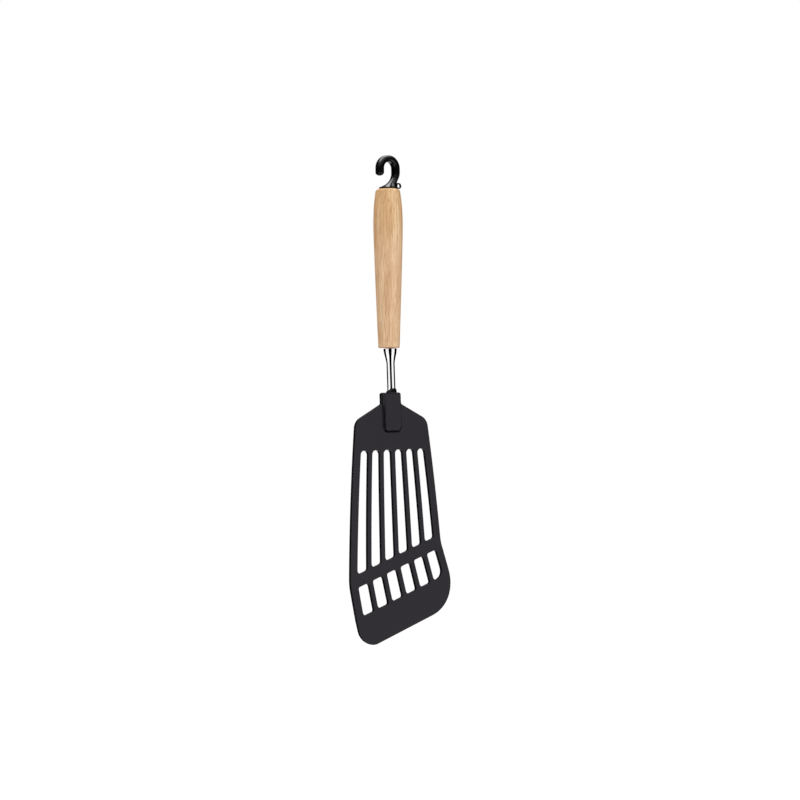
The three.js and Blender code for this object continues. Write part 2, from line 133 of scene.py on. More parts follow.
PLATE_THICKNESS = 2.4
PLATE_EDGE_ROUND = 0.2
BLADE_LEAN = math.radians(0.45)
SHAFT_STANDOFF = 0.6
NECK_LENGTH = 8.28
NECK_EAR = 1.2
NECK_CORNER_RADIUS = 1.8
NECK_FILLET = 1.6
SHOULDER_SLOPE = math.radians(26.9)
SHOULDER_HALF = 31.95
SHOULDER_RADIUS = 9.0
CREASE_DROP = 122.05
CREASE_HALF = 41.1
TIP_HALF = 43.2
DIAGONAL = math.radians(17.6)
LIP_BEND = math.radians(19.8)
LIP_BEND_RADIUS = 22.0
LIP_EDGE_THICKNESS = 1.0
FRONT_MARGIN = 21.4
SHORT_CORNER_RADIUS = 32.0
LONG_CORNER_RADIUS = 10.0

# Sizes of the slots

SLOT_PAIRS = 3
SLOT_TOP_DROP = 41.15
SLOT_TOP_FLAT = 0.28
SLOT_CORNER_RADIUS = 2.3
SHORT_SLOT_LENGTH = 19.8
SHORT_SLOT_CORNER_RADIUS = 2.0
SHORT_SLOT_OUTER_RADIUS = 8.0
BAR_WIDTH = 3.55
RIM_WIDTH = 6.0
CREASE_BAND = 8.4

# Sizes of the socket and its collar

COLLAR_WALL = 0.35
COLLAR_RISE = 2.9
COLLAR_SLANT = math.radians(28)
SOCKET_SIDE_WALL = 2.15
SOCKET_FRONT_WALL = 0.55
SOCKET_END_WALL = 3.0
SOCKET_DRAFT = 0.3
SOCKET_END_DRAFT = 1.1
SOCKET_CORNER_RADIUS = 3.0
SOCKET_EDGE_ROUND = 0.65
SOCKET_FOOT_FILLET = 0.5
SOCKET_FOOT_START = math.radians(30)
SOCKET_SETBACK = 0.15

# Fineness of the meshes. A curve's points keep ARC_CLEARANCE radii away from its rounded ends

HANDLE_SIDES = 128
HOOK_SIDES = 48
SHAFT_SIDES = 64
PIN_SIDES = 48
ARC_STEP = math.radians(5)
ARC_CLEARANCE = 1.5
CURVE_STEPS = 24
ROUND_STEPS = 8
EDGE_STEPS = 4
HOOK_ARC_STEPS = 56
HOOK_FOOT_STEPS = 40
MEETING_STEPS = 12
OUTLINE_SPACING = 1.2
GRID_SPACING = 2.0
GRID_CLEARANCE = 1.0
GRID_ROW = 2.0
DELAUNAY_WHOLE_HULL = 0
DELAUNAY_EPSILON = 1e-6
SLIVER_AREA = 0.01
SMOOTH_ANGLE = math.radians(32)


# Plain mathematics


def lerp(start, end, share):
    return start + (end - start) * share


def smoothstep(share):
    return share * share * (3 - 2 * share)


def bezier(start, control, end, steps=CURVE_STEPS):
    """Points of a quadratic curve, without its start."""
    points = []
    for step in range(1, steps + 1):
        share = step / steps
        points.append(lerp(lerp(start, control, share), lerp(control, end, share), share))
    return points


def interpolate(table, at):
    """The value at a place of a table of (place, value) pairs with rising places."""
    for (place, value), (next_place, next_value) in zip(table, table[1:]):
        if at <= next_place:
            return lerp(value, next_value, (at - place) / (next_place - place))
    return table[-1][1]


# Frames: the head leans on the handle, and the blade leans on the shaft

NECK_DROP = LEAN_DEPTH + ROD_EXPOSED
BLADE_TILT = Matrix.Rotation(-BLADE_LEAN, 4, "X")
TO_ROW = Matrix.Scale(MM, 4)
HEAD_FRAME = Matrix.Translation((0, 0, HANDLE_END + LEAN_DEPTH)) @ Matrix.Rotation(-SHAFT_LEAN, 4, "X")
BLADE_IN_HEAD = Matrix.Translation((0, 0, -NECK_DROP)) @ BLADE_TILT
BLADE_FRAME = HEAD_FRAME @ BLADE_IN_HEAD


# Solid meshes


def make_object(name, points, faces, matrix):
    """A new mesh object with outward normals, its points carried by a matrix."""
    mesh = bpy.data.meshes.new(name)
    mesh.from_pydata([tuple(matrix @ Vector(point)) for point in points], [], faces)
    shape = bmesh.new()
    shape.from_mesh(mesh)
    bmesh.ops.recalc_face_normals(shape, faces=shape.faces)
    shape.to_mesh(mesh)
    shape.free()
    made = bpy.data.objects.new(name, mesh)
    bpy.context.scene.collection.objects.link(made)
    return made


def band_faces(first, count):
    """Faces between two rings of points, where the second ring is listed straight after the first."""
    faces = []
    for i in range(count):
        here = first + i
        beside = first + (i + 1) % count
        faces.append((here, beside, beside + count, here + count))
    return faces


def loft(name, rings, matrix):
    """A closed solid through rings of equal point count, capped at both ends."""
    count = len(rings[0])
    points = [point for ring in rings for point in ring]
    last = len(points) - count
    faces = []
    for first in range(0, last, count):
        faces += band_faces(first, count)
    faces.append(tuple(range(count)))
    faces.append(tuple(range(last, last + count)))
    return make_object(name, points, faces, matrix)


def combine(base, other, operation):
    """Adds another solid to base, or cuts it out of base, and removes the other."""
    modifier = base.modifiers.new(operation, "BOOLEAN")
    modifier.operation = operation
    modifier.solver = "EXACT"
    modifier.object = other
    graph = bpy.context.evaluated_depsgraph_get()
    mesh = bpy.data.meshes.new_from_object(base.evaluated_get(graph))
    base.modifiers.clear()
    base.data = mesh
    bpy.data.objects.remove(other)


def dress(piece, node, material):
    """Smooth shading, a material, and the piece's place in the frame."""
    piece.data.materials.clear()
    piece.data.materials.append(material)
    piece.data.shade_smooth()
    piece.data.set_sharp_from_angle(angle=SMOOTH_ANGLE)
    weighted = piece.modifiers.new("weighted normals", "WEIGHTED_NORMAL")
    weighted.keep_sharp = True
    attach(piece, "root")
    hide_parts(node)


# Outlines


def circle_ring(radius, height, sides):
    ring = []
    for i in range(sides):
        turn = math.tau * i / sides
        ring.append(Vector((radius * math.cos(turn), radius * math.sin(turn), height)))
    return ring


def round_corners(corners):
    """The points of a polygon whose corners (x, y, radius) are rounded by arcs."""
    points = []
    for number, (x, y, radius) in enumerate(corners):
        corner = Vector((x, y))
        if not radius:
            points.append(corner)
            continue
        before = (Vector(corners[number - 1][:2]) - corner).normalized()
        after = (Vector(corners[(number + 1) % len(corners)][:2]) - corner).normalized()
        half_angle = math.acos(before.dot(after)) / 2
        centre = corner + (before + after).normalized() * (radius / math.sin(half_angle))
        start = corner + before * (radius / math.tan(half_angle)) - centre
        turn = math.pi - 2 * half_angle
        way = -math.copysign(1, before.x * after.y - before.y * after.x)
        steps = max(2, math.ceil(turn / ARC_STEP))
        for step in range(steps + 1):
            arm = Matrix.Rotation(way * turn * step / steps, 2) @ start
            points.append(centre + arm)
    return points


def refine(points, spacing):
    """The same closed outline with no side longer than a spacing."""
    fine = []
    for number, point in enumerate(points):
        following = points[(number + 1) % len(points)]
        steps = max(1, math.ceil((following - point).length / spacing))
        fine.extend(lerp(point, following, step / steps) for step in range(steps))
    return fine


def signed_area(points):
    return sum(a.x * b.y - b.x * a.y for a, b in zip(points, points[1:] + points[:1])) / 2


def turned(points, anticlockwise):
    """The outline running the way asked for."""
    return points if (signed_area(points) > 0) == anticlockwise else points[::-1]


def inset_loop(loop, inset):
    """A loop that has its material on its left, moved into the material."""
    moved = []
    for number, point in enumerate(loop):
        along = (loop[(number + 1) % len(loop)] - loop[number - 1]).normalized()
        outward = Vector((along.y, -along.x))
        moved.append(point - outward * inset)
    return moved


# Plates with holes and rounded edges


def edge_profile(edge_round, thickness):
    """(inset, share of the thickness) round an edge, from the upper face to the lower one."""
    upper = []
    for step in range(EDGE_STEPS + 1):
        angle = math.pi / 2 * step / EDGE_STEPS
        upper.append((edge_round * (1 - math.sin(angle)), edge_round * (1 - math.cos(angle)) / thickness))
    return upper + [(inset, 1 - share) for inset, share in reversed(upper)]


def segment_distance(point, start, end):
    along = end - start
    share = max(0.0, min(1.0, (point - start).dot(along) / along.length_squared))
    return (point - start - along * share).length


def sides_by_row(loops):
    """The sides of the loops, listed under each row of the grid that they reach or come near."""
    rows = defaultdict(list)
    for loop in loops:
        for start, end in zip(loop, loop[1:] + loop[:1]):
            low, high = sorted((start.y, end.y))
            first = math.floor((low - GRID_CLEARANCE) / GRID_ROW)
            last = math.floor((high + GRID_CLEARANCE) / GRID_ROW)
            for row in range(first, last + 1):
                rows[row].append((start, end))
    return rows


def is_inside(spot, rows):
    """Whether a spot lies in the material: a line from it crosses an odd number of sides."""
    crossings = 0
    for start, end in rows[math.floor(spot.y / GRID_ROW)]:
        if (start.y > spot.y) != (end.y > spot.y):
            across = lerp(start.x, end.x, (spot.y - start.y) / (end.y - start.y))
            crossings += across > spot.x
    return crossings % 2 == 1


def is_clear(spot, rows):
    """Whether a spot keeps the grid's clearance from every side."""
    near = rows[math.floor(spot.y / GRID_ROW)]
    return all(segment_distance(spot, *side) > GRID_CLEARANCE for side in near)


def grid_points(outline, rows, tilt):
    """Points of a tilted grid in the material, clear of its sides."""
    to_grid = Matrix.Rotation(-tilt, 2)
    from_grid = Matrix.Rotation(tilt, 2)
    corners = [to_grid @ point for point in outline]
    low = [min(corner[axis] for corner in corners) for axis in range(2)]
    high = [max(corner[axis] for corner in corners) for axis in range(2)]
    columns, lines = [int((high[axis] - low[axis]) / GRID_SPACING) + 1 for axis in range(2)]
    found = []
    for line in range(lines):
        for column in range(columns):
            spot = from_grid @ Vector((low[0] + column * GRID_SPACING, low[1] + line * GRID_SPACING))
            if is_inside(spot, rows) and is_clear(spot, rows):
                found.append(spot)
    return found


def flat_triangles(loops, grid, rows):
    """Triangles that fill the material, as numbers into the loops' points followed by the grid's."""
    flat = [point for loop in loops for point in loop]
    sides = []
    for loop in loops:
        start = len(sides)
        sides += [(start + i, start + (i + 1) % len(loop)) for i in range(len(loop))]
    spots, _, triangles, sources, _, _ = delaunay_2d_cdt(
        flat + grid, sides, [], DELAUNAY_WHOLE_HULL, DELAUNAY_EPSILON, True
    )
    found = []
    for triangle in triangles:
        corners = [spots[corner] for corner in triangle]
        middle = sum(corners, Vector((0, 0))) / 3
        if abs(signed_area(corners)) > SLIVER_AREA and is_inside(middle, rows):
            found.append([sources[corner][0] for corner in triangle])
    return found


def rounded_plate(name, outline, holes, edge_round, thickness, tilt, place, matrix):
    """A plate with holes and rounded edges, filled by a tilted grid.

    place(point, share) gives the place of a point of the outline at a share of the thickness.
    """
    loops = [turned(refine(outline, OUTLINE_SPACING), True)]
    loops += [turned(refine(hole, OUTLINE_SPACING), False) for hole in holes]
    points = []
    faces = []
    upper = []
    lower = []
    for loop in loops:
        count = len(loop)
        first = len(points)
        for inset, share in edge_profile(edge_round, thickness):
            points += [place(point, share) for point in inset_loop(loop, inset)]
        last = len(points) - count
        for ring in range(first, last, count):
            faces += band_faces(ring, count)
        upper += range(first, first + count)
        lower += range(last, last + count)
    inner_loops = [inset_loop(loop, edge_round) for loop in loops]
    rows = sides_by_row(inner_loops)
    grid = grid_points(inner_loops[0], rows, tilt)
    for share, numbers in ((0.0, upper), (1.0, lower)):
        numbers.extend(range(len(points), len(points) + len(grid)))
        points += [place(spot, share) for spot in grid]
    for corners in flat_triangles(inner_loops, grid, rows):
        faces.append(tuple(upper[corner] for corner in corners))
        faces.append(tuple(lower[corner] for corner in reversed(corners)))
    return make_object(name, points, faces, matrix)


# Handle: a turned profile with a hole in each end


def handle_rings():
    top = Vector((HANDLE_TOP_RADIUS, -HANDLE_TOP_ROUND))
    swell = Vector((HANDLE_SWELL_RADIUS, -HANDLE_SWELL_DROP))
    low = Vector((HANDLE_END_RADIUS, HANDLE_END_ROUND - HANDLE_LENGTH))
    end = Vector((HANDLE_END_RADIUS - HANDLE_END_ROUND, -HANDLE_LENGTH))
    hole = PEG_DIAMETER / 2 + FIT
    seat = Vector((FLANGE_DIAMETER / 2 + FIT, 0))
    taper_start = -(HANDLE_SWELL_DROP + HANDLE_TAPER_LEAD)
    profile = [Vector((hole, -PEG_LENGTH - FIT)), Vector((hole, 0)), seat]
    profile += bezier(seat, Vector((HANDLE_TOP_RADIUS, -HANDLE_TOP_CROWN)), top, ROUND_STEPS)
    profile += bezier(top, Vector((HANDLE_SWELL_RADIUS, -HANDLE_SWELL_DROP / 2)), swell)
    profile += bezier(swell, Vector((HANDLE_SWELL_RADIUS, taper_start)), low)
    profile += bezier(low, Vector((HANDLE_END_RADIUS, -HANDLE_LENGTH)), end, ROUND_STEPS)
    return [circle_ring(spot.x, HANDLE_TOP + spot.y, HANDLE_SIDES) for spot in profile]


def make_handle():
    handle = loft("beech_handle", handle_rings(), TO_ROW)
    radius = TANG_RADIUS + FIT
    hole_rings = [
        circle_ring(radius, TANG_LENGTH + FIT - LEAN_DEPTH, PIN_SIDES),
        circle_ring(radius, -LEAN_DEPTH - HANDLE_END_ROUND, PIN_SIDES),
    ]
    combine(handle, loft("tang_hole", hole_rings, TO_ROW @ HEAD_FRAME), "DIFFERENCE")
    return handle


# Hook: rings from the tip over the arc, down the stem, out to the flange and down the peg


def hook_ring(x, height, angle, width, depth, squareness):
    """A rounded oblong across the hook's path, which runs at an angle from straight up."""
    ring = []
    for i in range(HOOK_SIDES):
        turn = math.tau * (i + 0.5) / HOOK_SIDES
        side = math.copysign(abs(math.cos(turn)) ** (2 / squareness), math.cos(turn)) * width / 2
        front = math.copysign(abs(math.sin(turn)) ** (2 / squareness), math.sin(turn)) * depth / 2
        z = HANDLE_TOP + height - side * math.sin(angle)
        ring.append(Vector((x + side * math.cos(angle), front, z)))
    return ring


def tip_rings():
    rings = []
    tip_height = HOOK_CENTRE_HEIGHT - HOOK_TIP_DROP
    tip_radius = HOOK_WIDTH / 2
    for step in range(ROUND_STEPS):
        angle = math.pi / 2 * (step + 0.5) / ROUND_STEPS
        width = HOOK_WIDTH * math.sin(angle)
        depth = HOOK_DEPTH * math.sin(angle)
        height = tip_height + tip_radius * (1 - math.cos(angle))
        rings.append(hook_ring(-HOOK_ARC_RADIUS, height, 0, width, depth, HOOK_SQUARENESS))
    return rings


def arc_rings():
    rings = []
    for step in range(HOOK_ARC_STEPS + 1):
        angle = math.pi * step / HOOK_ARC_STEPS
        x = -HOOK_ARC_RADIUS * math.cos(angle)
        height = HOOK_CENTRE_HEIGHT + HOOK_ARC_RADIUS * math.sin(angle)
        rings.append(hook_ring(x, height, angle, HOOK_WIDTH, HOOK_DEPTH, HOOK_SQUARENESS))
    return rings


def foot_rings():
    """The stem curves back under the arc's centre and flares out to the round flange."""
    rings = []
    for step in range(HOOK_FOOT_STEPS + 1):
        up = (1 - step / HOOK_FOOT_STEPS) ** 2
        flare = (1 - up) ** FOOT_SHARPNESS
        x = HOOK_ARC_RADIUS * (1 - (1 - up) ** 2)
        height = lerp(FIT + FLANGE_THICKNESS, HOOK_STEM_HEIGHT, up)
        width = lerp(HOOK_WIDTH, FLANGE_DIAMETER, flare)
        depth = lerp(HOOK_DEPTH, FLANGE_DIAMETER, flare)
        squareness = lerp(HOOK_SQUARENESS, ROUND_SQUARENESS, 1 - up)
        rings.append(hook_ring(x, height, math.pi, width, depth, squareness))
    return rings


def peg_rings():
    """The flange's lower edge, its seat on the handle, and the peg with its chamfered end."""
    profile = (
        (FIT + FLANGE_EDGE_ROUND, FLANGE_DIAMETER),
        (FIT, FLANGE_DIAMETER - 2 * FLANGE_EDGE_ROUND),
        (FIT, PEG_DIAMETER),
        (PEG_CHAMFER - PEG_LENGTH, PEG_DIAMETER),
        (-PEG_LENGTH, PEG_DIAMETER - 2 * PEG_CHAMFER),
    )
    rings = []
    for height, diameter in profile:
        rings.append(hook_ring(0, height, math.pi, diameter, diameter, ROUND_SQUARENESS))
    return rings


def make_eye():
    """A flat lug with a hole, standing out from the foot of the stem."""
    radius = EYE_HOLE_RADIUS + EYE_WALL
    centre = Vector((EYE_REACH, EYE_HEIGHT))
    root = HOOK_ARC_RADIUS / 2
    outline = [Vector((root, EYE_HEIGHT + radius)), Vector((root, EYE_HEIGHT - radius))]
    hole = []
    steps = 2 * CURVE_STEPS
    for step in range(steps):
        turn = math.tau * step / steps
        arm = Vector((math.sin(turn), -math.cos(turn)))
        hole.append(centre + arm * EYE_HOLE_RADIUS)
        if turn <= math.pi:
            outline.append(centre + arm * radius)

    def place(point, share):
        return Vector((point.x, lerp(-EYE_DEPTH / 2, EYE_DEPTH / 2, share), HANDLE_TOP + point.y))

    return rounded_plate("eye", outline, [hole], EYE_EDGE_ROUND, EYE_DEPTH, 0, place, TO_ROW)


def make_hook():
    rings = [*tip_rings(), *arc_rings(), *foot_rings(), *peg_rings()]
    hook = loft("hanging_hook", rings, TO_ROW)
    combine(hook, make_eye(), "UNION")
    return hook


# Shaft: rings along its axis, measured down from where it crosses the handle's axis

SPADE_SPREAD = (SPADE_WIDTH - SPADE_THICKNESS) / 2
SPADE_END = NECK_DROP + SPADE_LENGTH
FLARE_DROP = LEAN_DEPTH + FIT + FLARE_RADIUS * math.tan(SHAFT_LEAN)
TANG_TOP = LEAN_DEPTH - TANG_LENGTH


def shaft_ring(drop, radius, spread=0.0, margin=0.0):
    """A ring in the head's frame: round where spread is 0, and a wide oval where it isn't."""
    beyond = max(0.0, drop - NECK_DROP)
    tilt = BLADE_TILT if beyond else Matrix.Identity(4)
    centre = Vector((0, 0, -min(drop, NECK_DROP)))
    ring = []
    for i in range(SHAFT_SIDES):
        turn = math.tau * (i + 0.5) / SHAFT_SIDES
        x = math.copysign(spread, math.cos(turn)) + (radius + margin) * math.cos(turn)
        y = (radius + margin) * math.sin(turn)
        ring.append(centre + tilt @ Vector((x, y, -beyond)))
    return ring


def flare_rings():
    rings = []
    for step in range(EDGE_STEPS):
        angle = math.pi / 2 * step / EDGE_STEPS
        radius = FLARE_RADIUS - FLARE_EDGE_ROUND * (1 - math.sin(angle))
        rings.append(shaft_ring(FLARE_DROP + FLARE_EDGE_ROUND * (1 - math.cos(angle)), radius))
    for step in range(CURVE_STEPS + 1):
        share = step / CURVE_STEPS
        drop = FLARE_DROP + lerp(FLARE_EDGE_ROUND, FLARE_LENGTH, share)
        rings.append(shaft_ring(drop, lerp(FLARE_RADIUS, ROD_RADIUS, smoothstep(share))))
    return rings


def spade_rings(margin):
    """The rod thins and widens, from the collar's mouth on, to a flat spade with rounded corners."""
    flat_radius = SPADE_THICKNESS / 2
    rings = [
        shaft_ring(NECK_DROP - COLLAR_RISE, ROD_RADIUS, 0, margin),
        shaft_ring(NECK_DROP, flat_radius, SPADE_NECK_WIDTH / 2 - flat_radius, margin),
        shaft_ring(NECK_DROP + SPADE_TRANSITION, flat_radius, SPADE_SPREAD, margin),
    ]
    for step in range(ROUND_STEPS + 1):
        angle = math.pi / 2 * step / ROUND_STEPS
        drop = SPADE_END + margin - SPADE_CORNER_RADIUS * (1 - math.sin(angle))
        spread = SPADE_SPREAD - SPADE_CORNER_RADIUS * (1 - math.cos(angle))
        rings.append(shaft_ring(drop, flat_radius, spread, margin))
    return rings


def mouth_ring(margin):
    """A ring round the rod, clear above the collar's mouth."""
    return shaft_ring(NECK_DROP - COLLAR_RISE - 2 * ROD_RADIUS, ROD_RADIUS, 0, margin)


def spade_pin(diameter):
    """A pin through the spade, square to the blade."""
    lying = Matrix.Translation((0, 0, -SPADE_HOLE_DROP)) @ Matrix.Rotation(math.pi / 2, 4, "X")
    rings = [circle_ring(diameter / 2, reach, PIN_SIDES) for reach in (-SPADE_WIDTH / 2, SPADE_WIDTH / 2)]
    return loft("spade_pin", rings, TO_ROW @ BLADE_FRAME @ lying)


def make_shaft():
    rings = [
        shaft_ring(TANG_TOP, TANG_RADIUS - TANG_CHAMFER),
        shaft_ring(TANG_TOP + TANG_CHAMFER, TANG_RADIUS),
        shaft_ring(FLARE_DROP, TANG_RADIUS),
        *flare_rings(),
        *spade_rings(0),
    ]
    shaft = loft("steel_shaft", rings, TO_ROW @ HEAD_FRAME)
    combine(shaft, spade_pin(SPADE_HOLE_DIAMETER), "DIFFERENCE")
    return shaft


# Blade: a bent plate with a raised socket and a collar round the shaft

FRONT_DISTANCE = CREASE_BAND / 2 + SHORT_SLOT_LENGTH + FRONT_MARGIN
FRONT_DROP = CREASE_DROP + FRONT_DISTANCE / math.cos(DIAGONAL)
SOCKET_HALF = SPADE_WIDTH / 2 + FIT + SOCKET_SIDE_WALL
NECK_HALF = SOCKET_HALF + NECK_EAR
SHOULDER_DROP = NECK_LENGTH + (SHOULDER_HALF - NECK_HALF) * math.tan(SHOULDER_SLOPE)


def half_width(drop):
    """Half the blade's width: a shallow curve through its widths at the shoulder, crease and front."""
    reach = FRONT_DROP - SHOULDER_DROP
    from_crease = (drop - CREASE_DROP) / reach
    from_shoulder = (drop - SHOULDER_DROP) / reach
    crease_to_front = (FRONT_DROP - CREASE_DROP) / reach
    chord = lerp(SHOULDER_HALF, TIP_HALF, from_shoulder)
    bow = CREASE_HALF - lerp(SHOULDER_HALF, TIP_HALF, 1 - crease_to_front)
    bulge = from_shoulder * (crease_to_front - from_crease) / (crease_to_front * (1 - crease_to_front))
    return chord + bow * bulge


def diagonal_drop(x, below_crease):
    """The drop, at x, of a line that runs parallel to the crease and a distance below it."""
    return CREASE_DROP + below_crease / math.cos(DIAGONAL) - x * math.tan(DIAGONAL)


def meeting_drop(curve, below_crease):
    """The drop at which such a line meets a curve x(drop)."""
    drop = diagonal_drop(0, below_crease)
    for _ in range(MEETING_STEPS):
        drop = diagonal_drop(curve(drop), below_crease)
    return drop


def across_crease(x, z):
    return x * math.sin(DIAGONAL) + (-z - CREASE_DROP) * math.cos(DIAGONAL)


def plan(point):
    """A point (x, drop) of the unbent pattern as the mould shows it: its bend foreshortens the lip."""
    lost = max(0.0, across_crease(point.x, -point.y)) * (1 - math.cos(LIP_BEND))
    return Vector((point.x - lost * math.sin(DIAGONAL), lost * math.cos(DIAGONAL) - point.y))


def down_curve(curve, start, end, start_radius, end_radius):
    """Corners down a curve between two drops, with rounded ends and points clear of their arcs."""
    corners = [(curve(start), start, start_radius)]
    for step in range(1, CURVE_STEPS):
        drop = lerp(start, end, step / CURVE_STEPS)
        if drop - start > ARC_CLEARANCE * start_radius and end - drop > ARC_CLEARANCE * end_radius:
            corners.append((curve(drop), drop, 0))
    return corners + [(curve(end), end, end_radius)]


def blade_outline():
    def left(drop):
        return -half_width(drop)

    front_right = meeting_drop(half_width, FRONT_DISTANCE)
    front_left = meeting_drop(left, FRONT_DISTANCE)
    return [
        (NECK_HALF, 0, NECK_CORNER_RADIUS),
        (NECK_HALF, NECK_LENGTH, NECK_FILLET),
        *down_curve(half_width, SHOULDER_DROP, front_right, SHOULDER_RADIUS, SHORT_CORNER_RADIUS),
        *reversed(down_curve(left, SHOULDER_DROP, front_left, SHOULDER_RADIUS, LONG_CORNER_RADIUS)),
        (-NECK_HALF, NECK_LENGTH, NECK_FILLET),
        (-NECK_HALF, 0, NECK_CORNER_RADIUS),
    ]


def bar_line(number, edge):
    """An edge line of a bar or of a rim: bars are counted from the middle one, and edge is -1 or 1."""

    def line(drop):
        pitch = (half_width(drop) - RIM_WIDTH + BAR_WIDTH / 2) / SLOT_PAIRS
        return number * pitch + edge * BAR_WIDTH / 2

    return line


def long_slot(left, right):
    """A slot between two edge lines, with a round top, down to the plain band at the crease."""
    top_radius = (right(SLOT_TOP_DROP) - left(SLOT_TOP_DROP) - SLOT_TOP_FLAT) / 2
    right_end = meeting_drop(right, -CREASE_BAND / 2)
    left_end = meeting_drop(left, -CREASE_BAND / 2)
    return [
        *down_curve(right, SLOT_TOP_DROP, right_end, top_radius, SLOT_CORNER_RADIUS),
        *reversed(down_curve(left, SLOT_TOP_DROP, left_end, top_radius, SLOT_CORNER_RADIUS)),
    ]


def short_slot(left, right, outer_radius):
    """A slot between two edge lines in the lip, with its own radius at the lower right corner."""
    top = CREASE_BAND / 2
    end = CREASE_BAND / 2 + SHORT_SLOT_LENGTH
    radius = SHORT_SLOT_CORNER_RADIUS
    return [
        *down_curve(right, meeting_drop(right, top), meeting_drop(right, end), radius, outer_radius),
        *reversed(down_curve(left, meeting_drop(left, top), meeting_drop(left, end), radius, radius)),
    ]


def slot_outlines():
    slots = []
    for number in range(-SLOT_PAIRS, SLOT_PAIRS):
        left = bar_line(number, 1)
        right = bar_line(number + 1, -1)
        is_last = number == SLOT_PAIRS - 1
        outer_radius = SHORT_SLOT_OUTER_RADIUS if is_last else SHORT_SLOT_CORNER_RADIUS
        slots += [long_slot(left, right), short_slot(left, right, outer_radius)]
    return slots


def sheet_tables():
    """Heights of the upper and the lower face by the distance across the crease."""
    arc_start = -LIP_BEND_RADIUS * math.tan(LIP_BEND / 2)
    far = 2 * FRONT_DROP
    upper = [(-far, 0.0)]
    lower = [(-far, -PLATE_THICKNESS)]
    for step in range(CURVE_STEPS + 1):
        angle = LIP_BEND * step / CURVE_STEPS
        for table, radius in ((upper, LIP_BEND_RADIUS), (lower, LIP_BEND_RADIUS + PLATE_THICKNESS)):
            place = arc_start + radius * math.sin(angle)
            table.append((place, LIP_BEND_RADIUS - radius * math.cos(angle)))
    for distance, thickness in (
        (FRONT_DISTANCE - FRONT_MARGIN, PLATE_THICKNESS),
        (FRONT_DISTANCE, LIP_EDGE_THICKNESS),
        (FRONT_DISTANCE + FRONT_MARGIN, LIP_EDGE_THICKNESS),
    ):
        along = distance * math.cos(LIP_BEND)
        rise = distance * math.sin(LIP_BEND)
        upper.append((along, rise))
        lower.append((along + thickness * math.sin(LIP_BEND), rise - thickness * math.cos(LIP_BEND)))
    return upper, lower


def make_plate():
    upper, lower = sheet_tables()

    def place(point, share):
        across = across_crease(point.x, point.y)
        height = lerp(interpolate(upper, across), interpolate(lower, across), share)
        return Vector((point.x, SHAFT_STANDOFF - height, point.y))

    def flattened(corners):
        return [plan(point) for point in refine(round_corners(corners), OUTLINE_SPACING)]

    return rounded_plate(
        "nylon_blade",
        flattened(blade_outline()),
        [flattened(slot) for slot in slot_outlines()],
        PLATE_EDGE_ROUND,
        PLATE_THICKNESS,
        DIAGONAL,
        place,
        TO_ROW @ BLADE_FRAME,
    )


def socket_ring(rise, inset):
    """A rounded oblong at a height over the plate's upper face. Its end is drafted more than its sides."""
    side = SOCKET_HALF - inset
    top = SOCKET_SETBACK + max(0.0, inset)
    end_inset = inset * (SOCKET_END_DRAFT / SOCKET_DRAFT) if inset > 0 else inset
    end = SPADE_LENGTH + FIT + SOCKET_END_WALL - end_inset
    radius = SOCKET_CORNER_RADIUS - inset
    corners = [
        (side, top, SOCKET_EDGE_ROUND),
        (side, end, radius),
        (-side, end, radius),
        (-side, top, SOCKET_EDGE_ROUND),
    ]
    return [Vector((point.x, SHAFT_STANDOFF - rise, -point.y)) for point in round_corners(corners)]


def make_socket():
    """The raised socket: a small fillet at its foot, drafted walls and a rounded edge."""
    height = SHAFT_STANDOFF + SPADE_THICKNESS / 2 + FIT + SOCKET_FRONT_WALL
    profile = [(-PLATE_THICKNESS / 2, SOCKET_FOOT_FILLET * (math.sin(SOCKET_FOOT_START) - 1))]
    for step in range(EDGE_STEPS + 1):
        angle = lerp(SOCKET_FOOT_START, math.pi / 2, step / EDGE_STEPS)
        rise = SOCKET_FOOT_FILLET * (1 - math.cos(angle))
        profile.append((rise, SOCKET_FOOT_FILLET * (math.sin(angle) - 1)))
    for step in range(ROUND_STEPS + 1):
        angle = math.pi / 2 * step / ROUND_STEPS
        rise = height - SOCKET_EDGE_ROUND * (1 - math.sin(angle))
        profile.append((rise, SOCKET_DRAFT + SOCKET_EDGE_ROUND * (1 - math.cos(angle))))
    return loft("socket", [socket_ring(*spot) for spot in profile], TO_ROW @ BLADE_FRAME)


def make_collar():
    """A skin that follows the shaft into the socket, with its mouth cut obliquely, high in front."""
    margin = FIT + COLLAR_WALL
    skin = loft("collar", [mouth_ring(margin), *spade_rings(margin)], TO_ROW @ HEAD_FRAME)
    to_row = TO_ROW @ BLADE_FRAME
    rise = COLLAR_RISE - (ROD_RADIUS + margin) * math.tan(COLLAR_SLANT)
    normal = to_row.to_3x3().normalized() @ Vector((0, math.sin(COLLAR_SLANT), math.cos(COLLAR_SLANT)))
    shape = bmesh.new()
    shape.from_mesh(skin.data)
    geometry = shape.verts[:] + shape.edges[:] + shape.faces[:]
    cut = bmesh.ops.bisect_plane(
        shape, geom=geometry, plane_co=to_row @ Vector((0, 0, rise)), plane_no=normal, clear_outer=True
    )
    mouth = [item for item in cut["geom_cut"] if isinstance(item, bmesh.types.BMEdge)]
    bmesh.ops.edgeloop_fill(shape, edges=mouth)
    bmesh.ops.recalc_face_normals(shape, faces=shape.faces)
    shape.to_mesh(skin.data)
    shape.free()
    return skin


def make_blade():
    blade = make_plate()
    combine(blade, make_socket(), "UNION")
    combine(blade, make_collar(), "UNION")
    hollow = loft("hollow", [mouth_ring(FIT), *spade_rings(FIT)], TO_ROW @ HEAD_FRAME)
    combine(hollow, spade_pin(SPADE_HOLE_DIAMETER - 2 * FIT), "DIFFERENCE")
    combine(blade, hollow, "DIFFERENCE")
    return blade


# Shader nodes. The mixing node's colour sockets go by number, because other sockets share their names

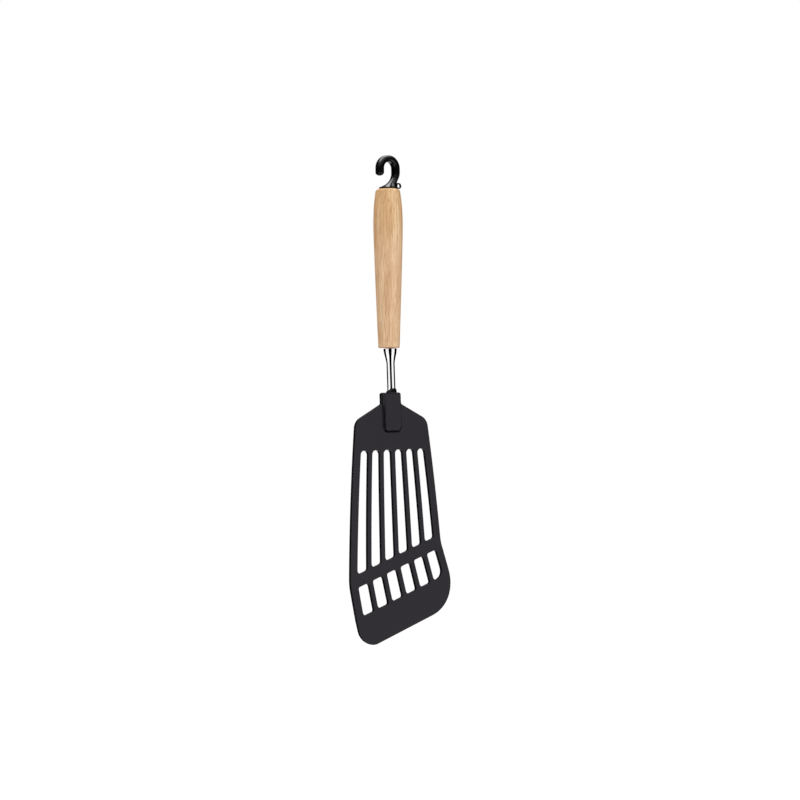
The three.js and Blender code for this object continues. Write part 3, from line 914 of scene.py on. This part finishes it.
MIX_SHARE_INPUT = 0
MIX_FIRST_INPUT = 6
MIX_SECOND_INPUT = 7
MIX_COLOUR_OUTPUT = 2


def add_node(tree, kind, inputs=None, **settings):
    """A new node with its settings, whose inputs are linked to sockets or set to values."""
    node = tree.nodes.new(kind)
    for name, value in settings.items():
        setattr(node, name, value)
    for name, value in (inputs or {}).items():
        if isinstance(value, bpy.types.NodeSocket):
            tree.links.new(value, node.inputs[name])
        else:
            node.inputs[name].default_value = value
    return node


def new_material(name, **constants):
    """A material, its node tree and its shader, with the shader's constant values set."""
    material = bpy.data.materials.new(name)
    material.use_nodes = True
    tree = material.node_tree
    shader = tree.nodes["Principled BSDF"]
    for socket, value in constants.items():
        shader.inputs[socket.replace("_", " ")].default_value = value
    return material, tree, shader


def object_coords(tree):
    return add_node(tree, "ShaderNodeTexCoord").outputs["Object"]


def stretched_noise(tree, scale, detail, roughness=0.5, distortion=0.0, shift=(0, 0, 0)):
    """Noise with scale grains a metre on each axis. A shift, in grains, picks another part of it."""
    mapping = {"Vector": object_coords(tree), "Scale": scale, "Location": shift}
    inputs = {
        "Vector": add_node(tree, "ShaderNodeMapping", mapping).outputs["Vector"],
        "Scale": 1.0,
        "Detail": detail,
        "Roughness": roughness,
        "Distortion": distortion,
    }
    return add_node(tree, "ShaderNodeTexNoise", inputs).outputs["Fac"]


def remap(tree, value, low, high, new_low, new_high):
    inputs = {"Value": value, "From Min": low, "From Max": high, "To Min": new_low, "To Max": new_high}
    return add_node(tree, "ShaderNodeMapRange", inputs).outputs["Result"]


def combine_values(tree, operation, first, second):
    node = add_node(tree, "ShaderNodeMath", {0: first, 1: second}, operation=operation)
    return node.outputs["Value"]


def weighted_sum(tree, terms):
    """The sum of (value, weight) pairs."""
    parts = [combine_values(tree, "MULTIPLY", value, weight) for value, weight in terms]
    total = parts[0]
    for part in parts[1:]:
        total = combine_values(tree, "ADD", total, part)
    return total


def linear(colour):
    """A colour written as 0 to 255 display values, as linear light by the sRGB curve, with full alpha."""
    shares = [channel / 255 for channel in colour]
    return (*(s / 12.92 if s <= 0.04045 else ((s + 0.055) / 1.055) ** 2.4 for s in shares), 1.0)


def colour_ramp(tree, value, stops):
    """The colour at a value between stops (position, colour) with rising positions."""
    ramp = add_node(tree, "ShaderNodeValToRGB", {"Fac": value})
    elements = ramp.color_ramp.elements
    elements.remove(elements[-1])
    elements[0].position = stops[0][0]
    elements[0].color = linear(stops[0][1])
    for position, colour in stops[1:]:
        elements.new(position).color = linear(colour)
    return ramp.outputs["Color"]


def mix_colours(tree, share, first, second, blend="MIX"):
    inputs = {MIX_SHARE_INPUT: share, MIX_FIRST_INPUT: first, MIX_SECOND_INPUT: second}
    node = add_node(tree, "ShaderNodeMix", inputs, data_type="RGBA", blend_type=blend)
    return node.outputs[MIX_COLOUR_OUTPUT]


def bump(tree, shader, height, strength, distance):
    node = add_node(tree, "ShaderNodeBump", {"Height": height, "Strength": strength, "Distance": distance})
    tree.links.new(node.outputs["Normal"], shader.inputs["Normal"])


# Materials. Colours are display values from 0 to 255, and spans are parts of a noise's range from 0 to 1

NOISE_SPAN = (0.2, 0.8)
SURFACE_IOR = 1.5

BEECH_DRIFT = {"scale": (100, 100, 7), "detail": 2.0, "distortion": 0.4, "shift": (3.4, 1.8, 0.8)}
BEECH_GRAIN = {"scale": (620, 620, 26), "detail": 3.0, "roughness": 0.6, "distortion": 0.2}
BEECH_THREADS = {"scale": (1500, 1500, 70), "detail": 3.0, "roughness": 0.6}
BEECH_DASHES = {"scale": (1900, 1900, 160), "detail": 2.0}
# The mottle of the painted highlight on the handle's lower end.
END_HIGHLIGHT_MOTTLE = {"scale": (900, 900, 900), "detail": 2.0}
DRIFT_WEIGHT = 0.5
GRAIN_WEIGHT = 0.35
THREAD_WEIGHT = 0.5
BEECH_MIDDLE = (DRIFT_WEIGHT + GRAIN_WEIGHT + THREAD_WEIGHT) / 2
BEECH_TONES = (
    (BEECH_MIDDLE - 0.14, (184, 143, 104)),
    (BEECH_MIDDLE - 0.03, (206, 168, 130)),
    (BEECH_MIDDLE + 0.03, (214, 178, 142)),
    (BEECH_MIDDLE + 0.14, (230, 199, 165)),
)
FLECK_SPAN = (0.6, 0.7)
FLECK_SHARE = 0.5
FLECK_COLOUR = (165, 118, 78)
WARM_FULL_DROP = 20.0
WARM_FADE_DROP = 50.0
WARM_TINT = (250, 248, 237)
# Painted highlight: a lighter mottle on the handle's lower end, where its rounding catches the light.
END_HIGHLIGHT_HEIGHT = 5.0
END_HIGHLIGHT_SPAN = (0.48, 0.6)
END_HIGHLIGHT_SHARE = 0.75
END_HIGHLIGHT_COLOUR = (240, 212, 180)
# Painted shade: a darker rim along the handle's bottom edge, which faces down.
END_SHADE_HEIGHT = 1.3
END_SHADE_SHARE = 0.7
END_SHADE_COLOUR = (160, 112, 74)
BEECH_SPECULAR = 0.12
BEECH_ROUGHNESS = (0.48, 0.62)
BEECH_RELIEF = {"strength": 0.25, "distance": 0.06 * MM}

STEEL_LINES = {"scale": (5200, 5200, 40), "detail": 2.0}
STEEL_DARK = (246, 246, 247)
STEEL_PALE = (251, 251, 251)
STEEL_ROUGHNESS = (0.012, 0.03)
STEEL_RELIEF = {"strength": 0.03, "distance": 0.002 * MM}

PLASTIC_DRIFT = {"scale": (45, 45, 45), "detail": 3.0}
PLASTIC_DRIFT_WEIGHT = 0.6
PLASTIC_GRAIN_WEIGHT = 0.4
PLASTIC_SPAN = (0.25, 0.75)
SATIN_NYLON = {
    "dark": (8, 7, 9),
    "pale": (16, 15, 18),
    "roughness": (0.24, 0.34),
    "specular": 0.39,
    "tint": (0.94, 0.87, 1.0),
    "grain": {"scale": (1500, 1500, 1500), "detail": 3.0, "roughness": 0.6},
    "relief": {"strength": 0.3, "distance": 0.06 * MM},
}
HOOK_PLASTIC = {
    "dark": (4, 4, 4),
    "pale": (8, 8, 8),
    "roughness": (0.2, 0.28),
    "specular": 0.42,
    "tint": (1.0, 1.0, 1.0),
    "grain": {"scale": (900, 900, 900), "detail": 3.0, "roughness": 0.6},
    "relief": {"strength": 0.3, "distance": 0.02 * MM},
}


def beech_material():
    """Beech: drifts of tone, grain lines of two widths, dark flecks, a warm top, and a painted highlight and
    a painted shade at the end.
    """
    material, tree, shader = new_material("beech", IOR=SURFACE_IOR, Specular_IOR_Level=BEECH_SPECULAR)
    height = add_node(tree, "ShaderNodeSeparateXYZ", {0: object_coords(tree)}).outputs["Z"]

    def fade(start, end, share):
        """A share that grows from 0 at one height, in millimetres, to its full size at another."""
        return remap(tree, height, start * MM, end * MM, 0.0, share)

    drift = stretched_noise(tree, **BEECH_DRIFT)
    grain = stretched_noise(tree, **BEECH_GRAIN)
    threads = stretched_noise(tree, **BEECH_THREADS)
    mixed = weighted_sum(tree, ((drift, DRIFT_WEIGHT), (grain, GRAIN_WEIGHT), (threads, THREAD_WEIGHT)))
    colour = colour_ramp(tree, mixed, BEECH_TONES)
    flecks = remap(tree, stretched_noise(tree, **BEECH_DASHES), *FLECK_SPAN, 0.0, FLECK_SHARE)
    colour = mix_colours(tree, flecks, colour, linear(FLECK_COLOUR))
    warm = fade(HANDLE_TOP - WARM_FADE_DROP, HANDLE_TOP - WARM_FULL_DROP, 1.0)
    colour = mix_colours(tree, warm, colour, linear(WARM_TINT), "MULTIPLY")
    # Painted highlight: a lighter mottle over the lowest few millimetres of the handle.
    highlight_mottle = remap(tree, stretched_noise(tree, **END_HIGHLIGHT_MOTTLE), *END_HIGHLIGHT_SPAN, 0.0, END_HIGHLIGHT_SHARE)
    end_highlight = combine_values(tree, "MULTIPLY", fade(HANDLE_END + END_HIGHLIGHT_HEIGHT, HANDLE_END, 1.0), highlight_mottle)
    colour = mix_colours(tree, end_highlight, colour, linear(END_HIGHLIGHT_COLOUR))
    # Painted shade along the bottom rim of the handle.
    end_shade = fade(HANDLE_END + END_SHADE_HEIGHT, HANDLE_END, END_SHADE_SHARE)
    colour = mix_colours(tree, end_shade, colour, linear(END_SHADE_COLOUR))
    tree.links.new(colour, shader.inputs["Base Color"])
    tree.links.new(remap(tree, threads, *NOISE_SPAN, *BEECH_ROUGHNESS), shader.inputs["Roughness"])
    bump(tree, shader, combine_values(tree, "SUBTRACT", threads, flecks), **BEECH_RELIEF)
    return material


def steel_material():
    """Polished steel with the faintest polishing lines along the rod."""
    material, tree, shader = new_material("polished_steel", Metallic=1.0)
    lines = stretched_noise(tree, **STEEL_LINES)
    colour = mix_colours(tree, lines, linear(STEEL_DARK), linear(STEEL_PALE))
    tree.links.new(colour, shader.inputs["Base Color"])
    tree.links.new(remap(tree, lines, *NOISE_SPAN, *STEEL_ROUGHNESS), shader.inputs["Roughness"])
    bump(tree, shader, lines, **STEEL_RELIEF)
    return material


def plastic_material(name, dark, pale, roughness, specular, tint, grain, relief):
    """Moulded plastic: a fine spark-eroded grain, and slow drifts of tone and gloss."""
    material, tree, shader = new_material(
        name, IOR=SURFACE_IOR, Specular_IOR_Level=specular, Specular_Tint=(*tint, 1.0)
    )
    drift = stretched_noise(tree, **PLASTIC_DRIFT)
    skin = stretched_noise(tree, **grain)
    tone = weighted_sum(tree, ((drift, PLASTIC_DRIFT_WEIGHT), (skin, PLASTIC_GRAIN_WEIGHT)))
    tree.links.new(mix_colours(tree, tone, linear(dark), linear(pale)), shader.inputs["Base Color"])
    tree.links.new(remap(tree, tone, *PLASTIC_SPAN, *roughness), shader.inputs["Roughness"])
    bump(tree, shader, skin, **relief)
    return material


# The turner

dress(make_handle(), "handle", beech_material())
dress(make_shaft(), "shaft", steel_material())
dress(make_blade(), "blade", plastic_material("satin_nylon", **SATIN_NYLON))
dress(make_hook(), "hook", plastic_material("hook_plastic", **HOOK_PLASTIC))

# Camera, from the photo: a square picture, 1300 mm from the turner at 0.72 mm a pixel

PICTURE_SIDE = 800
CAMERA_DISTANCE = 1300
PIXEL_SIZE = 0.72
FOCAL_PIXELS = CAMERA_DISTANCE / PIXEL_SIZE
CAMERA_AZIMUTH = math.radians(-37)
CAMERA_ELEVATION = math.radians(1)
CAMERA_ROLL = math.radians(-0.42)
AIM_POINT = Vector((0, 0, -133.8))
AIM_PIXEL = Vector((388.95, 348.0))
AIM_DEPTH = 1302.3
SENSOR_WIDTH = 36.0


def direction(azimuth, elevation):
    """The unit vector from the turner towards an azimuth and an elevation, in radians. Azimuth 0 is -Y."""
    flat = math.cos(elevation)
    return Vector((math.sin(azimuth) * flat, -math.cos(azimuth) * flat, math.sin(elevation)))


def add_camera():
    back = direction(CAMERA_AZIMUTH, CAMERA_ELEVATION)
    level = Vector((math.cos(CAMERA_AZIMUTH), math.sin(CAMERA_AZIMUTH), 0))
    upright = back.cross(level)
    right = level * math.cos(CAMERA_ROLL) + upright * math.sin(CAMERA_ROLL)
    up = back.cross(right)
    offset = (AIM_PIXEL - Vector((PICTURE_SIDE / 2, PICTURE_SIDE / 2))) / FOCAL_PIXELS
    sight = -back + right * offset.x - up * offset.y
    data = bpy.data.cameras.new("camera")
    data.sensor_width = SENSOR_WIDTH
    data.lens = SENSOR_WIDTH * FOCAL_PIXELS / PICTURE_SIDE
    camera = bpy.data.objects.new("camera", data)
    turn = Matrix((right, up, back)).transposed().to_4x4()
    camera.matrix_world = Matrix.Translation((AIM_POINT - sight * AIM_DEPTH) * MM) @ turn
    bpy.context.scene.collection.objects.link(camera)
    bpy.context.scene.camera = camera


# Studio, in metres and degrees: a white surround, a pale floor far below, softboxes and black cards

AMBIENT_LIGHT = 0.5
FLOOR_DROP = 0.35
FLOOR_HEIGHT = cad_box[0].z - FLOOR_DROP
FLOOR_SIDE = 400.0
FLOOR_WHITE = 0.9

STUDIO_CENTRE = Vector((0, 0, -0.17))
SOFTBOX_DISTANCE = 1.3
SOFTBOX_ELEVATION = 12
SOFTBOX_WIDTH = 0.7
SOFTBOX_HEIGHT = 1.2
LEFT_SOFTBOX = {"azimuth": -78, "radiance": 1.7}
RIGHT_SOFTBOX = {"azimuth": 8, "radiance": 3.0}
OVERHEAD_WIDTH = 0.7
OVERHEAD_LENGTH = 0.62
OVERHEAD_BACK = 0.19
OVERHEAD_HEIGHT = 0.43
OVERHEAD_RADIANCE = 3.2

CARD_STEPS = 48
GROUND_CARD_RISE = 0.01
GROUND_CARD_HEIGHT = FLOOR_HEIGHT + GROUND_CARD_RISE
GROUND_CARD_RADIUS = 0.4
SCREEN_RADIUS = 0.95
SCREEN_TOP = 0.85
LEFT_SCREEN = (-190, -119.5)
CAMERA_SCREEN = (-63, -8.5)
RIGHT_SCREEN = (47, 130)
BACK_SCREEN = (130, 170)
BACK_SCREEN_LOW = -0.02
DARK_RING = (0, 360)
DARK_RING_RADIUS = 0.3
DARK_RING_LOW = -0.06
DARK_RING_HIGH = 0.1


def stage_mesh(name, corners, faces, material):
    mesh = bpy.data.meshes.new(name)
    mesh.from_pydata([tuple(corner) for corner in corners], [], faces)
    mesh.materials.append(material)
    made = bpy.data.objects.new(name, mesh)
    bpy.context.scene.collection.objects.link(made)
    return made


def seen_light(tree):
    """1 where a ray comes from the camera, a gloss or a clear body, and 0 where it only gathers light."""
    path = add_node(tree, "ShaderNodeLightPath")
    seen = path.outputs["Is Camera Ray"]
    for name in ("Is Glossy Ray", "Is Transmission Ray"):
        seen = combine_values(tree, "MAXIMUM", seen, path.outputs[name])
    return seen


def add_world():
    world = bpy.data.worlds.new("studio")
    bpy.context.scene.world = world
    world.use_nodes = True
    tree = world.node_tree
    strength = remap(tree, seen_light(tree), 0, 1, AMBIENT_LIGHT, 1.0)
    background = tree.nodes["Background"]
    background.inputs["Color"].default_value = (1, 1, 1, 1)
    tree.links.new(strength, background.inputs["Strength"])


def floor_material():
    """Pale paint, with a glow that only makes up what it lacks to look white."""
    material = bpy.data.materials.new("pale_floor")
    material.use_nodes = True
    tree = material.node_tree
    tree.nodes.remove(tree.nodes["Principled BSDF"])
    paint = add_node(tree, "ShaderNodeBsdfDiffuse", {"Color": (FLOOR_WHITE, FLOOR_WHITE, FLOOR_WHITE, 1)})
    strength = remap(tree, seen_light(tree), 0, 1, 0, 1 - FLOOR_WHITE * AMBIENT_LIGHT)
    glow = add_node(tree, "ShaderNodeEmission", {"Color": (1, 1, 1, 1), "Strength": strength})
    both = add_node(tree, "ShaderNodeAddShader", {0: paint.outputs[0], 1: glow.outputs[0]})
    tree.links.new(both.outputs[0], tree.nodes["Material Output"].inputs["Surface"])
    return material


def add_floor():
    half = FLOOR_SIDE / 2
    corners = [Vector((x * half, y * half, 0)) for x, y in ((-1, -1), (1, -1), (1, 1), (-1, 1))]
    floor = stage_mesh("floor", corners, [(0, 1, 2, 3)], floor_material())
    floor.location = (0, 0, FLOOR_HEIGHT)


def add_lamp(name, matrix, width, height, radiance):
    data = bpy.data.lights.new(name, "AREA")
    data.shape = "RECTANGLE"
    data.size = width
    data.size_y = height
    data.energy = radiance * math.pi * width * height
    lamp = bpy.data.objects.new(name, data)
    bpy.context.scene.collection.objects.link(lamp)
    lamp.matrix_world = matrix
    lamp.visible_camera = False
    return lamp


def add_softbox(name, azimuth, radiance):
    """An upright softbox that looks at the turner, and that mirrors don't show."""
    back = direction(math.radians(azimuth), math.radians(SOFTBOX_ELEVATION))
    turn = (-back).to_track_quat("-Z", "Y").to_matrix().to_4x4()
    matrix = Matrix.Translation(STUDIO_CENTRE + back * SOFTBOX_DISTANCE) @ turn
    lamp = add_lamp(name, matrix, SOFTBOX_WIDTH, SOFTBOX_HEIGHT, radiance)
    lamp.visible_glossy = False


def add_overhead_softbox():
    """A level softbox over the hook, most of it behind the turner."""
    matrix = Matrix.Translation((0, OVERHEAD_BACK, OVERHEAD_HEIGHT))
    add_lamp("overhead_softbox", matrix, OVERHEAD_WIDTH, OVERHEAD_LENGTH, OVERHEAD_RADIANCE)


def add_black_card(name, corners, faces):
    """A black card that only mirrors show, as a studio uses to draw dark lines on polished metal."""
    material, _, _ = new_material(name, Base_Color=(0, 0, 0, 1), Specular_IOR_Level=0)
    card = stage_mesh(name, corners, faces, material)
    card.visible_camera = False
    card.visible_diffuse = False
    card.visible_shadow = False


def screen_arc(span, radius, height):
    """Points round the turner between the two azimuths of a span."""
    points = []
    for step in range(CARD_STEPS + 1):
        azimuth = math.radians(lerp(*span, step / CARD_STEPS))
        points.append(direction(azimuth, 0) * radius + Vector((0, 0, height)))
    return points


def add_screen(name, span, low, high, radius=SCREEN_RADIUS):
    """A curved black screen round the turner, between two heights."""
    corners = screen_arc(span, radius, low) + screen_arc(span, radius, high)
    over = CARD_STEPS + 1
    faces = [(step, step + over, step + over + 1, step + 1) for step in range(CARD_STEPS)]
    add_black_card(name, corners, faces)


def add_standing_screen(name, span):
    """A screen that stands just over the floor, with an apron that reaches in to under the turner.

    Three of them draw the dark lines down the rod.
    """
    add_screen(name, span, GROUND_CARD_HEIGHT, SCREEN_TOP)
    corners = [Vector((0, 0, GROUND_CARD_HEIGHT)), *screen_arc(span, SCREEN_RADIUS, GROUND_CARD_HEIGHT)]
    faces = [(0, step, step + 1) for step in range(1, CARD_STEPS + 1)]
    add_black_card(name + "_apron", corners, faces)


def add_ground_card():
    """A round black card that lies below the turner."""
    corners = circle_ring(GROUND_CARD_RADIUS, GROUND_CARD_HEIGHT, CARD_STEPS)
    add_black_card("ground_card", corners, [tuple(range(CARD_STEPS))])


add_camera()
add_world()
add_floor()
add_softbox("left_softbox", **LEFT_SOFTBOX)
add_softbox("right_softbox", **RIGHT_SOFTBOX)
add_overhead_softbox()
add_standing_screen("left_screen", LEFT_SCREEN)
add_standing_screen("camera_screen", CAMERA_SCREEN)
add_standing_screen("right_screen", RIGHT_SCREEN)
add_screen("back_screen", BACK_SCREEN, BACK_SCREEN_LOW, SCREEN_TOP)
add_screen("hook_ring", DARK_RING, DARK_RING_LOW, DARK_RING_HIGH, DARK_RING_RADIUS)
add_ground_card()

bpy.context.scene.view_settings.view_transform = "Standard"
